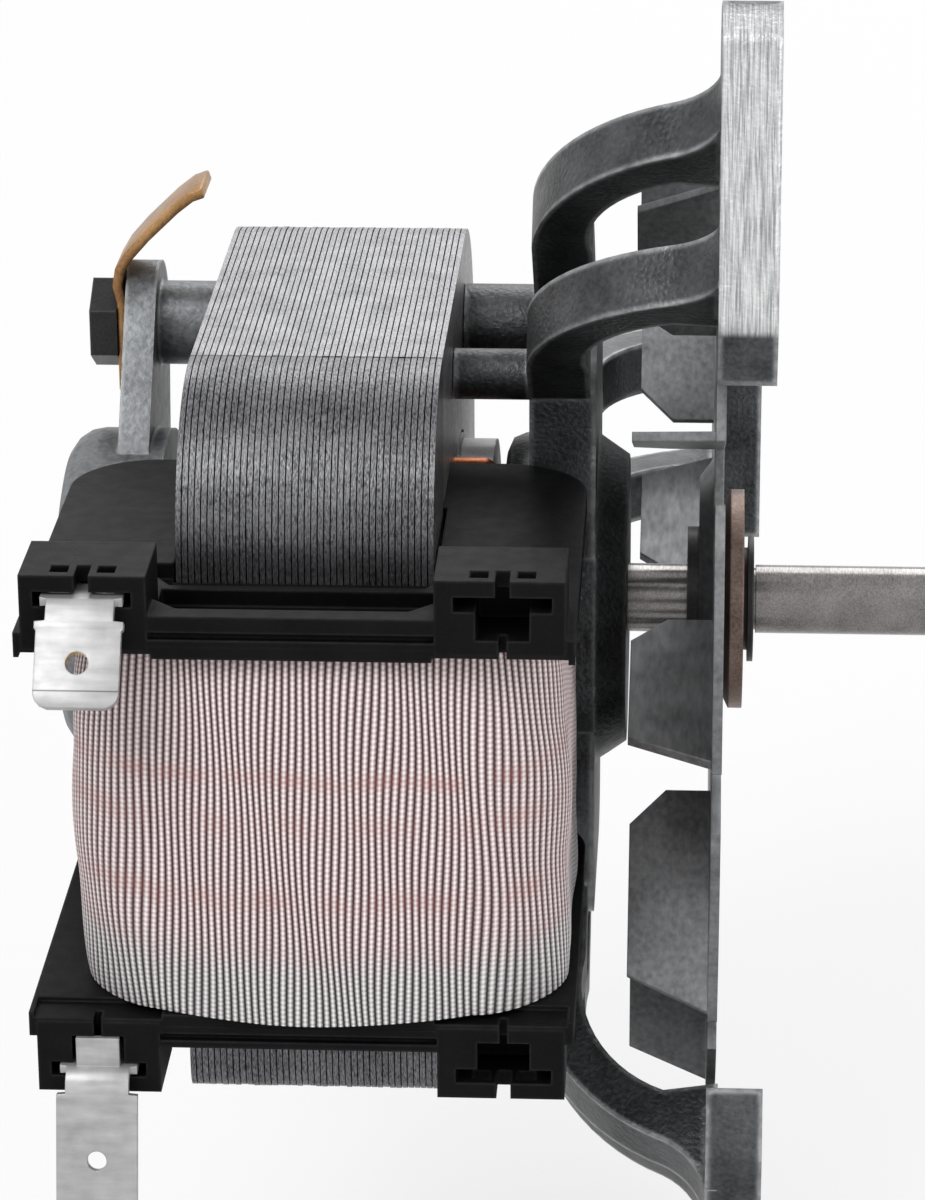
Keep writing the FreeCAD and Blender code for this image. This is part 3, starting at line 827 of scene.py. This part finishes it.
@dataclass
class TapedCoil:
    """The winding under its woven tape, a bulged rounded box with ribs and creases."""

    corner: float = 6.0 * MM
    bulge: float = 1.2 * MM
    end_tuck: float = 0.2 * MM
    tuck_sharpness: int = 10
    front_arc: float = 4.3 * MM
    arc_lean: float = 0.40
    rib_pitch: float = 0.55
    steps: int = 5
    levels: int = 44
    rib_height: float = 0.13 * MM
    rib_sharpness: float = 1.5
    left_inset: float = 1.4 * MM
    foot_flare: float = 2.2 * MM
    flare_top: float = -0.2
    wander: float = 0.16 * MM
    drifts: tuple = (Wave(44, 2.1), Wave(101, 5.3, 2.0, 0.6))
    ripple: float = 0.16 * MM
    ripples: tuple = (Wave(41, 3.0), Wave(17, 5.0))
    crease_up: float = 4.2
    crease_sway: Wave = Wave(23, 0.0, 0.0, 0.7)
    crease_sharpness: int = 8
    crease_depth: float = 0.25

    def outline(self, share: float, half: Vector) -> tuple:
        """Returns a point of the rounded rectangle and its outward direction.

        Args:
            share: the place round the outline, from 0 to 1.
            half: half of its width and depth.

        Returns:
            The point, the direction and the length of the outline.
        """
        radius = self.corner
        arc = radius * math.pi / 2
        total = 4 * (half.x + half.y - 2 * radius + arc)
        left = share * total
        place = Vector((radius - half.x, -half.y))
        for side in range(4):
            heading = side * math.pi / 2
            along = Vector((math.cos(heading), math.sin(heading)))
            outward = Vector((along.y, -along.x))
            run = 2 * (half[side % 2] - radius)
            if left <= run:
                return place + along * left, outward, total
            left -= run
            centre = place + along * run - outward * radius
            if left <= arc:
                angle = heading - math.pi / 2 + left / radius
                direction = Vector((math.cos(angle), math.sin(angle)))
                return centre + direction * radius, direction, total
            left -= arc
            place = centre + along * radius
        return Vector((radius - half.x, -half.y)), Vector((0, -1)), total

    def rib(self, column: int) -> float:
        """Returns a rib's height at a column, in metres.

        Args:
            column: the column's number round the winding.

        Returns:
            The height.
        """
        phase = (column % self.steps) / self.steps
        groove = max(0.0, math.cos(2 * math.pi * phase)) ** self.rib_sharpness
        return self.rib_height * (1 - groove)

    def swell(self, level: float) -> float:
        """Returns how far the winding stands out at a level from -1 to 1."""
        return self.bulge * (1 - level * level) - self.end_tuck * abs(level) ** self.tuck_sharpness

    def unevenness(self, share: float, level: float) -> float:
        """Returns the ripples and creases at a place, in metres.

        Args:
            share: the place round the winding, from 0 to 1.
            level: the height, from -1 to 1.

        Returns:
            How far the tape stands out there.
        """
        ripples = self.ripples[0].at(share, level) * self.ripples[1].at(share, level)
        phase = level * self.crease_up + self.crease_sway.at(share, level)
        return self.ripple * (ripples - self.crease_depth * abs(math.sin(phase)) ** self.crease_sharpness)

    def surface(self, share: float, level: float, half: Vector, rib: float) -> Vector:
        """Returns the place of one point of the tape.

        Args:
            share: its place round the winding, from 0 to 1.
            level: its height, from -1 to 1.
            half: half of the winding's width, depth and height.
            rib: the rib's height there.

        Returns:
            The point, from the winding's middle.
        """
        point, outward, _ = self.outline(share, half)
        ahead = max(0.0, -outward.y)
        aside = max(0.0, outward.x) + ahead * abs(outward.x)
        reach = self.swell(level) if outward.y < 0.5 else 0.0
        reach += self.unevenness(share, level)
        arc = self.front_arc * (1 - (point.x / half.x) ** 2) * ahead * (1 - self.arc_lean * level)
        flare = self.foot_flare * max(0.0, self.flare_top - level) ** 2 * aside
        spot = point + outward * (reach + rib + flare)
        return Vector((spot.x, spot.y - arc, level * half.z))

    def tube(self, around: int) -> Piece:
        """Makes an open cylinder with a column for each step of a rib and cuts at every level.

        Args:
            around: the number of columns.

        Returns:
            The cylinder.
        """
        deselect()
        bpy.ops.mesh.primitive_cylinder_add(vertices=around, radius=1, depth=2, end_fill_type="NOTHING")
        bpy.ops.object.mode_set(mode="EDIT")
        for cut in range(1, self.levels):
            bpy.ops.mesh.select_all(action="SELECT")
            bpy.ops.mesh.bisect(plane_co=(0, 0, -1 + 2 * cut / self.levels), plane_no=(0, 0, 1))
        bpy.ops.object.mode_set(mode="OBJECT")
        return bpy.context.object

    @staticmethod
    def unwrap(coil: Piece, places: list, tape_length: float) -> None:
        """Writes the tape's own coordinates, in millimetres, with the seam's faces carried on.

        Args:
            coil: the winding.
            places: the coordinates of each vertex.
            tape_length: the length once round.
        """
        uv = coil.data.uv_layers.active or coil.data.uv_layers.new(name="UVMap")
        for loop in coil.data.loops:
            uv.data[loop.index].uv = places[loop.vertex_index]
        for polygon in coil.data.polygons:
            spots = [uv.data[index] for index in polygon.loop_indices]
            reached = [spot.uv.x for spot in spots]
            if max(reached) - min(reached) > tape_length / 2:
                for spot in spots:
                    if spot.uv.x < tape_length / 2:
                        spot.uv.x += tape_length

    def build(self, material: Material) -> None:
        """Makes the winding.

        Args:
            material: the tape's finish.
        """
        low, high = (Vector(corner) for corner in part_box("coil"))
        low.x += self.left_inset
        centre = (low + high) / 2
        half = (high - low) / 2 - Vector((self.bulge, self.bulge / 2, 0))
        length = self.outline(0.0, half)[2]
        around = self.steps * round(length / MM / self.rib_pitch)
        coil = self.tube(around)
        places = []
        for vertex in coil.data.vertices:
            share = (math.atan2(vertex.co.y, vertex.co.x) / (2 * math.pi)) % 1.0
            level = vertex.co.z
            column = round(share * around) % around
            places.append((column * self.rib_pitch / self.steps, level * half.z / MM))
            drift = sum(wave.at(share, level) for wave in self.drifts)
            share = (share + self.wander * drift / length) % 1.0
            vertex.co = centre + self.surface(share, level, half, self.rib(column))
        self.unwrap(coil, places, around * self.rib_pitch / self.steps)
        self.close_ends(coil)
        settle(coil, "taped_coil")
        bpy.ops.object.shade_smooth_by_angle(angle=SHARP_ANGLE)
        finish_piece(coil, material, "frame")
        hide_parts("coil")

    @staticmethod
    def close_ends(coil: Piece) -> None:
        """Fills both ends, which lie hidden against the flanges.

        Args:
            coil: the winding.
        """
        take(coil)
        bpy.ops.object.mode_set(mode="EDIT")
        bpy.ops.mesh.select_all(action="DESELECT")
        bpy.ops.mesh.select_mode(type="EDGE")
        bpy.ops.mesh.select_non_manifold()
        bpy.ops.mesh.fill_holes(sides=0)
        face_outwards()


@dataclass
class EarthTag:
    """The brass strip under the upper screw, bent over the stack in two soft curves."""

    half_width: float = 3.15
    thickness: float = 0.9 * MM
    rounding: float = 0.15 * MM
    centre_y: float = 9.0
    route: tuple = ((0.0, 16.6), (0.0, 24.6), (-0.35, 26.2), (-0.1, 27.6), (0.7, 28.9), (2.2, 30.6),
                    (4.9, 33.2), (6.3, 34.3), (7.4, 34.7))

    def build(self, material: Material) -> None:
        """Makes the strip along its bends.

        Args:
            material: the strip's finish.
        """
        low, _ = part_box("earth_tag")
        start_x = (low[0] + self.thickness / 2) / MM
        near, far = self.centre_y - self.half_width, self.centre_y + self.half_width
        edges = [[(start_x + x, y, z) for x, z in self.route] for y in (near, far)]
        strip = ribbon(*edges, self.thickness, self.rounding)
        settle(strip, "earth_strip")
        bpy.ops.object.shade_smooth_by_angle(angle=STRIP_ANGLE)
        finish_piece(strip, material, "frame")
        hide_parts("earth_tag")


@dataclass
class SpadeTerminal:
    """A tinned spade blade with ears, a neck and shoulders, bent down before its block.

    The route gives y, z and half the width at each bend, the hole y, z and the drill's lean in degrees,
    and the tongue, which only one blade has, its limits along x, y and z.
    """

    node: str
    route: tuple
    hole_at: tuple
    hole_r: float = 0.88
    drill_length: float = 4 * MM
    drill_sides: int = 32
    centre_x: float = -52.6
    thickness: float = 0.75 * MM
    rounding: float = 0.12 * MM
    tongue: tuple = ()

    def build(self, material: Material) -> None:
        """Makes the blade from its bends and widths, and drills it.

        Args:
            material: the blade's finish.
        """
        edges = [[(self.centre_x + side * half, y, z) for y, z, half in self.route] for side in (-1, 1)]
        blade = ribbon(*edges, self.thickness, self.rounding)
        hole_y, hole_z, lean = self.hole_at
        deselect()
        place = (self.centre_x * MM, hole_y * MM, hole_z * MM)
        bpy.ops.mesh.primitive_cylinder_add(vertices=self.drill_sides, radius=self.hole_r * MM,
                                            depth=self.drill_length, location=place,
                                            rotation=(math.radians(lean), 0, 0))
        combine(blade, settle(bpy.context.object, "drill"), "DIFFERENCE")
        if self.tongue:
            combine(blade, block(*self.tongue), "UNION")
        settle(blade, self.node + "_blade")
        bpy.ops.object.shade_smooth_by_angle(angle=BLADE_ANGLE)
        finish_piece(blade, material, "frame")
        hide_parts(self.node)


@dataclass
class MouldedBobbin:
    """The bobbin, cut from a copy of its solid, with finer blocks and a grooved rail on each flange.

    All sizes are in millimetres. Heights run from the coil's middle out, on both flanges alike. A cut is
    given by its limits aside of a middle, behind the front face and in height.
    """

    left_block: tuple = (-57.4, -47.7)
    left_middle: float = -52.6
    right_block: tuple = (-25.9, -15.9)
    right_middle: float = -20.7
    front_y: float = -54.1
    block_back_y: float = -46.5
    block_heights: tuple = (15.7, 21.7)
    cleared: tuple = ((-60, -13), (-56, -46.3), (17.0, 24))
    rail_overlap: float = 0.3
    rail_y: tuple = (-54.05, -50.0)
    rail_foot: float = 16.0
    rail_tops: tuple = (18.5, 17.8)
    rail_groove: tuple = ((0.0, 0.0), (-1.0, 0.7), (16.6, 17.2))
    block_groove: tuple = ((-0.2, 0.2), (-1.0, 3.0), (14.5, 15.4))
    channel_heights: tuple = (15.6, 23.7)
    front_channel_x: tuple = (-45.7, -27.9, -25.9, -25.9, -47.7, -47.7)
    front_channel_y: tuple = (-52.3, -52.3, -50.3, -44.2, -44.2, -50.3)
    limb_channel_x: tuple = (-47.2, -27.2, -25.6, -25.6, -49.0, -49.0)
    limb_channel_y: tuple = (-43.4, -43.4, -40.6, -38.4, -38.4, -40.6)
    slot: tuple = ((-3.75, 3.75), (-1.0, 5.2), (19.2, 20.4))
    stem: tuple = ((-2.05, 2.05), (-1.0, 5.2), (16.9, 19.3))
    slit: tuple = ((-0.55, 0.55), (-1.0, 2.4), (20.3, 22.7))
    left_window: tuple = ((-2.5, -1.1), (0.8, 2.3), (19.9, 22.7))
    right_window: tuple = ((1.1, 2.5), (0.8, 2.3), (19.9, 22.7))
    thread_slit: tuple = ((-0.3, 0.3), (-1.0, 1.5), (14.5, 17.0))

    @staticmethod
    def upright(heights: tuple, side: int) -> tuple:
        """Returns two heights on the upper flange (side 1) or the lower one (side -1), in order."""
        return tuple(sorted((side * heights[0], side * heights[1])))

    def carve(self, body: Piece, cut: tuple, span: tuple, side: int) -> None:
        """Cuts one groove or slot.

        Args:
            body: the bobbin.
            cut: its limits.
            span: the places that its two sides are measured from.
            side: 1 for the upper flange and -1 for the lower one.
        """
        aside, behind, heights = cut
        x = (span[0] + aside[0], span[1] + aside[1])
        y = (self.front_y + behind[0], self.front_y + behind[1])
        combine(body, block(x, y, self.upright(heights, side)), "DIFFERENCE")

    def pocket(self, body: Piece, sides: tuple, middle: float, side: int) -> None:
        """Cuts a terminal's slot, stem, slits and windows into one block.

        Args:
            body: the bobbin.
            sides: the block's two sides.
            middle: the middle of its slot.
            side: 1 for the upper flange and -1 for the lower one.
        """
        for cut in (self.slot, self.stem, self.slit, self.left_window, self.right_window, self.thread_slit):
            self.carve(body, cut, (middle, middle), side)
        self.carve(body, self.block_groove, sides, side)

    def build(self, material: Material) -> None:
        """Cuts the old front away, adds the new one and cuts its channels and slots.

        Args:
            material: the plastic's finish.
        """
        body = settle(loose_copy("bobbin"), "moulded_bobbin")
        merge_doubles()
        rail_x = (self.left_block[1], self.right_block[0])
        wide_rail_x = (rail_x[0] - self.rail_overlap, rail_x[1] + self.rail_overlap)
        for side, rail_top in zip((1, -1), self.rail_tops):
            clear_x, clear_y, clear_z = self.cleared
            combine(body, block(clear_x, clear_y, self.upright(clear_z, side)), "DIFFERENCE")
            for sides in (self.left_block, self.right_block):
                heights = self.upright(self.block_heights, side)
                combine(body, block(sides, (self.front_y, self.block_back_y), heights), "UNION")
            rail_heights = self.upright((self.rail_foot, rail_top), side)
            combine(body, block(wide_rail_x, self.rail_y, rail_heights), "UNION")
            channels = self.upright(self.channel_heights, side)
            combine(body, prism(self.front_channel_x, self.front_channel_y, channels), "DIFFERENCE")
            combine(body, prism(self.limb_channel_x, self.limb_channel_y, channels), "DIFFERENCE")
            self.carve(body, self.rail_groove, rail_x, side)
            self.pocket(body, self.left_block, self.left_middle, side)
            self.pocket(body, self.right_block, self.right_middle, side)
        settle(body, "moulded_bobbin")
        finish_piece(body, material, "frame")
        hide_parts("bobbin")


@dataclass
class Castings:
    """The nodes that keep their own solids, by the name of their finish."""

    nodes: dict = field(default_factory=lambda: {
        "dark_copper": ("shading_rings",),
        "rotor_sheets": ("rotor_core",),
        "cage_aluminium": ("rotor_cage",),
        "ground_steel": ("shaft", "bearing_retainers", "plain_washer"),
        "nylon": ("thrust_spacers",),
        "rear_casting": ("rear_bracket",),
        "dark_casting": ("front_bracket",),
        "sintered_bronze": ("rear_bearing", "front_bearing", "fan_washer"),
        "oil_felt": ("bearing_felts",),
        "blackened_steel": ("through_screws", "fan_hub", "fan_clip"),
        "stamped_aluminium": ("fan",),
    })

    def dress(self, finish: dict) -> None:
        """Gives every node that still shows its finish.

        Args:
            finish: the materials by name.
        """
        for name, nodes in self.nodes.items():
            for node in nodes:
                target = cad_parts[node]
                target.data.materials.clear()
                target.data.materials.append(finish[name])
                log.info("%s is dressed", node)


@dataclass(frozen=True)
class Lamp:
    """A soft square lamp: its place and side in metres, and its power in watts."""

    name: str
    place: tuple
    size: float
    power: float


@dataclass
class Studio:
    """Pale floor, soft lamps, a white surround and the camera."""

    floor_drop: float = 0.4 * MM
    floor_half: float = 3.0
    floor_tones: tuple = ((0.90, 0.90, 0.90), (0.94, 0.94, 0.94))
    floor_rough: float = 0.8
    floor_scale: float = 0.002
    floor_glow: float = 0.75
    surround_level: float = 0.42
    lamps: tuple = (
        Lamp("key_lamp", (-0.55, -0.75, 1.0), 0.7, 9.0),
        Lamp("fill_lamp", (0.8, -0.7, 0.35), 0.8, 4.0),
        Lamp("back_lamp", (0.1, 0.9, 0.8), 0.7, 5.0),
    )
    focal_px: float = 4536.7
    frame_px: float = 1200.0
    middle_px: float = 462.5
    sight_px: float = 637.9
    sensor: float = 36.0
    near_clip: float = 0.01
    pitch: float = math.radians(20.916)
    yaw: float = math.radians(-0.747)
    roll: float = math.radians(0.530)
    distance: float = 399.11 * MM
    rise: float = 0.254 * MM
    aim_x: float = -11.2 * MM

    def floor(self) -> None:
        """Adds the pale floor under the object."""
        low = CAD_BOUNDS[0]
        bpy.ops.object.select_all(action="DESELECT")
        bpy.ops.mesh.primitive_plane_add(size=2 * self.floor_half, location=(0, 0, low[2] - self.floor_drop))
        floor = settle(bpy.context.object, "floor")
        material = bpy.data.materials.new("pale_floor")
        shader = Shader(material)
        shader.surface.inputs["Roughness"].default_value = self.floor_rough
        tone = shader.ramp(shader.noise(self.floor_scale, 2.0), (0.0, 1.0), self.floor_tones)
        shader.join(tone, shader.surface.inputs["Base Color"])
        glow = shader.add("ShaderNodeEmission")
        glow.inputs["Color"].default_value = (1.0, 1.0, 1.0, 1.0)
        blend = shader.add("ShaderNodeMixShader")
        shader.join(shader.math("MULTIPLY", self.seen(shader), self.floor_glow), blend.inputs[0])
        shader.join(shader.surface.outputs[0], blend.inputs[1])
        shader.join(glow.outputs[0], blend.inputs[2])
        shader.join(blend.outputs[0], shader.nodes["Material Output"].inputs["Surface"])
        floor.data.materials.append(material)

    @staticmethod
    def seen(shader: Shader) -> Socket:
        """Returns 1 for rays that come from the eye, a gloss or through glass.

        Args:
            shader: the helper of a material or the world.

        Returns:
            The socket.
        """
        path = shader.add("ShaderNodeLightPath")
        gloss = shader.math("MAXIMUM", path.outputs["Is Glossy Ray"], path.outputs["Is Transmission Ray"])
        return shader.math("MAXIMUM", path.outputs["Is Camera Ray"], gloss)

    def surround(self) -> None:
        """Makes the world white to the eye and soft to the object."""
        world = bpy.data.worlds.new("studio")
        bpy.context.scene.world = world
        shader = Shader(world, "Background")
        shader.surface.inputs["Color"].default_value = (1, 1, 1, 1)
        rise = 1.0 - self.surround_level
        level = shader.math("MULTIPLY_ADD", self.seen(shader), rise, self.surround_level)
        shader.join(level, shader.surface.inputs["Strength"])

    def hang(self, lamp: Lamp) -> None:
        """Adds one lamp that looks at the object.

        Args:
            lamp: its name, place, size and power.
        """
        data = bpy.data.lights.new(lamp.name, "AREA")
        data.size = lamp.size
        data.energy = lamp.power
        light = bpy.data.objects.new(lamp.name, data)
        light.location = lamp.place
        sight = Vector((self.aim_x, 0, 0)) - Vector(lamp.place)
        light.rotation_euler = sight.to_track_quat("-Z", "Y").to_euler()
        bpy.context.collection.objects.link(light)

    def camera(self) -> None:
        """Adds the camera at the photograph's place and angle."""
        cos_pitch = math.cos(self.pitch)
        level = Vector((math.sin(self.yaw), math.cos(self.yaw), 0))
        forward = level * cos_pitch - Vector((0, 0, math.sin(self.pitch)))
        right = Vector((math.cos(self.yaw), -math.sin(self.yaw), 0))
        up = right.cross(forward)
        place = forward * -self.distance - up * self.rise + Vector((self.aim_x, 0, 0))
        across = right * math.cos(self.roll) + up * math.sin(self.roll)
        upward = up * math.cos(self.roll) - right * math.sin(self.roll)
        data = bpy.data.cameras.new("camera")
        data.sensor_width = self.sensor
        data.lens = self.focal_px / self.frame_px * data.sensor_width
        data.clip_start = self.near_clip
        camera = bpy.data.objects.new("camera", data)
        aside = math.atan((self.sight_px - self.middle_px) / self.focal_px)
        ahead = forward * math.cos(aside) - across * math.sin(aside)
        across = across * math.cos(aside) + forward * math.sin(aside)
        turn = Matrix((across, upward, -ahead)).transposed()
        camera.matrix_world = Matrix.Translation(place) @ turn.to_4x4()
        bpy.context.collection.objects.link(camera)
        bpy.context.scene.camera = camera

    def build(self) -> None:
        """Sets up floor, surround, lamps and camera."""
        self.floor()
        self.surround()
        for lamp in self.lamps:
            self.hang(lamp)
        self.camera()
        bpy.context.scene.view_settings.view_transform = "Standard"


def make_finishes() -> dict:
    """Makes every material once.

    Returns:
        The materials by name.
    """
    # The lighter edge colours of the castings, the black plastic and the blackened steel are painted
    # highlight.
    finishes = (
        SheetEdges("core_sheets", (0.12, 0.12, 0.125), (0.36, 0.36, 0.37), 0.8, 0.32, 0.48,
                   grain_scale=5.0, grain_depth=0.02, edge=0.0),
        # The core's steel made darker for the coil limb: painted shade on its front.
        SheetEdges("limb_sheets_painted_shade", (0.03, 0.03, 0.032), (0.20, 0.20, 0.21), 0.8, 0.30, 0.48,
                   grain_scale=5.0, grain_depth=0.03, edge=0.0, stain_share=0.25),
        WovenTape("woven_tape", (0.52, 0.40, 0.40), (0.90, 0.83, 0.83), 0.0, 0.65, 0.8,
                  grain_depth=0.06, edge=0.0, gloss=0.3),
        GroundCasting("dark_casting", (0.014, 0.0145, 0.0155), (0.10, 0.104, 0.108), 0.7, 0.32, 0.50,
                      grain_scale=2.5, grain_depth=0.09, edge=0.8, edge_highlight_colour=(0.78, 0.79, 0.80)),
        Finish("rear_casting", (0.07, 0.073, 0.078), (0.24, 0.25, 0.26), 0.6, 0.35, 0.55,
               grain_scale=2.0, grain_depth=0.06, edge=0.5, edge_highlight_colour=(0.6, 0.61, 0.62)),
        Finish("black_plastic", (0.0015, 0.0015, 0.0018), (0.006, 0.006, 0.0065), 0.0, 0.42, 0.6,
               grain_scale=6.0, grain_depth=0.03, edge=0.3, edge_highlight_colour=(0.03, 0.03, 0.032), gloss=0.08),
        TinnedBlade("tin_plate", (0.30, 0.30, 0.30), (0.50, 0.50, 0.50), 0.6, 0.38, 0.52,
                    patch_scale=0.6, grain_depth=0.006, edge=0.15, along=Axis.X, stretch=6.0),
        BrushedMetal("stamped_aluminium", (0.085, 0.087, 0.09), (0.25, 0.255, 0.26), 0.75, 0.36, 0.5,
                     grain_depth=0.012, edge=0.2, along=Axis.Y, stretch=8.0),
        BrushedMetal("ground_steel", (0.08, 0.073, 0.07), (0.30, 0.285, 0.28), 0.95, 0.16, 0.26,
                     grain_depth=0.006, edge=0.1, along=Axis.Y),
        Finish("blackened_steel", (0.010, 0.010, 0.011), (0.04, 0.04, 0.042), 0.4, 0.35, 0.5,
               edge=0.25, edge_highlight_colour=(0.12, 0.12, 0.125), gloss=0.3),
        Finish("dull_brass", (0.22, 0.11, 0.045), (0.52, 0.30, 0.13), 0.85, 0.28, 0.45, edge=0.15),
        Finish("dark_copper", (0.22, 0.05, 0.02), (0.58, 0.22, 0.09), 0.85, 0.25, 0.42, edge=0.0),
        Finish("sintered_bronze", (0.09, 0.06, 0.05), (0.30, 0.22, 0.185), 0.8, 0.35, 0.5, edge=0.2),
        Finish("oil_felt", (0.22, 0.18, 0.12), (0.5, 0.45, 0.35), 0.0, 0.85, 0.95, grain_depth=0.1),
        Finish("nylon", (0.68, 0.66, 0.58), (0.84, 0.82, 0.76), 0.0, 0.4, 0.5),
        Finish("cage_aluminium", (0.35, 0.35, 0.36), (0.62, 0.62, 0.63), 0.8, 0.35, 0.5),
        SheetEdges("rotor_sheets", (0.08, 0.08, 0.085), (0.4, 0.4, 0.41), 0.8, 0.35, 0.5),
    )
    return {finish.name: finish.build() for finish in finishes}


def build_pieces(finish: dict) -> None:
    """Builds the pieces that stand for a node.

    Args:
        finish: the materials by name.
    """
    LaminatedStack("stator_core").build(finish["core_sheets"])
    limb = LaminatedStack("coil_limb", seed=11, foot_centre=(-25.9 * MM, -16.9 * MM))
    # The limb gets the darker steel, which is painted shade.
    limb.build(finish["limb_sheets_painted_shade"])
    EarthTag().build(finish["dull_brass"])
    TapedCoil().build(finish["woven_tape"])
    MouldedBobbin().build(finish["black_plastic"])
    top = SpadeTerminal("terminal_top", route=(
        (-49.6, 19.75, 3.15), (-54.0, 19.75, 3.15), (-54.4, 19.72, 3.15), (-54.45, 19.7, 2.6),
        (-54.95, 19.35, 2.6), (-55.6, 18.6, 2.6), (-55.64, 18.54, 3.4), (-55.95, 18.1, 3.4),
        (-56.05, 17.95, 3.25), (-58.9, 13.9, 3.25), (-59.15, 13.55, 3.1), (-59.35, 13.25, 2.8),
        (-59.5, 13.05, 2.2)), hole_at=(-57.5, 15.9, 55.0))
    bottom = SpadeTerminal("terminal_bottom", route=(
        (-49.6, -19.7, 3.05), (-54.0, -19.7, 3.05), (-54.35, -19.72, 3.05), (-54.4, -19.74, 2.5),
        (-54.9, -19.95, 2.5), (-55.3, -20.4, 2.5), (-55.55, -21.2, 2.5), (-55.56, -21.25, 3.2),
        (-55.7, -21.8, 3.2), (-58.0, -30.9, 3.2), (-58.1, -31.4, 3.0), (-58.15, -31.8, 2.6),
        (-58.2, -32.0, 2.1)), hole_at=(-56.85, -26.4, 75.5), hole_r=0.78,
        tongue=((-54.3, -50.9), (-54.45, -53.9), (-19.4, -16.95)))
    top.build(finish["tin_plate"])
    bottom.build(finish["tin_plate"])


def main() -> None:
    """Builds the pieces, dresses the nodes and sets the studio."""
    logging.basicConfig(level=logging.INFO, format="%(name)s: %(message)s")
    finish = make_finishes()
    build_pieces(finish)
    Castings().dress(finish)
    Studio().build()


if __name__ == "__main__":
    main()
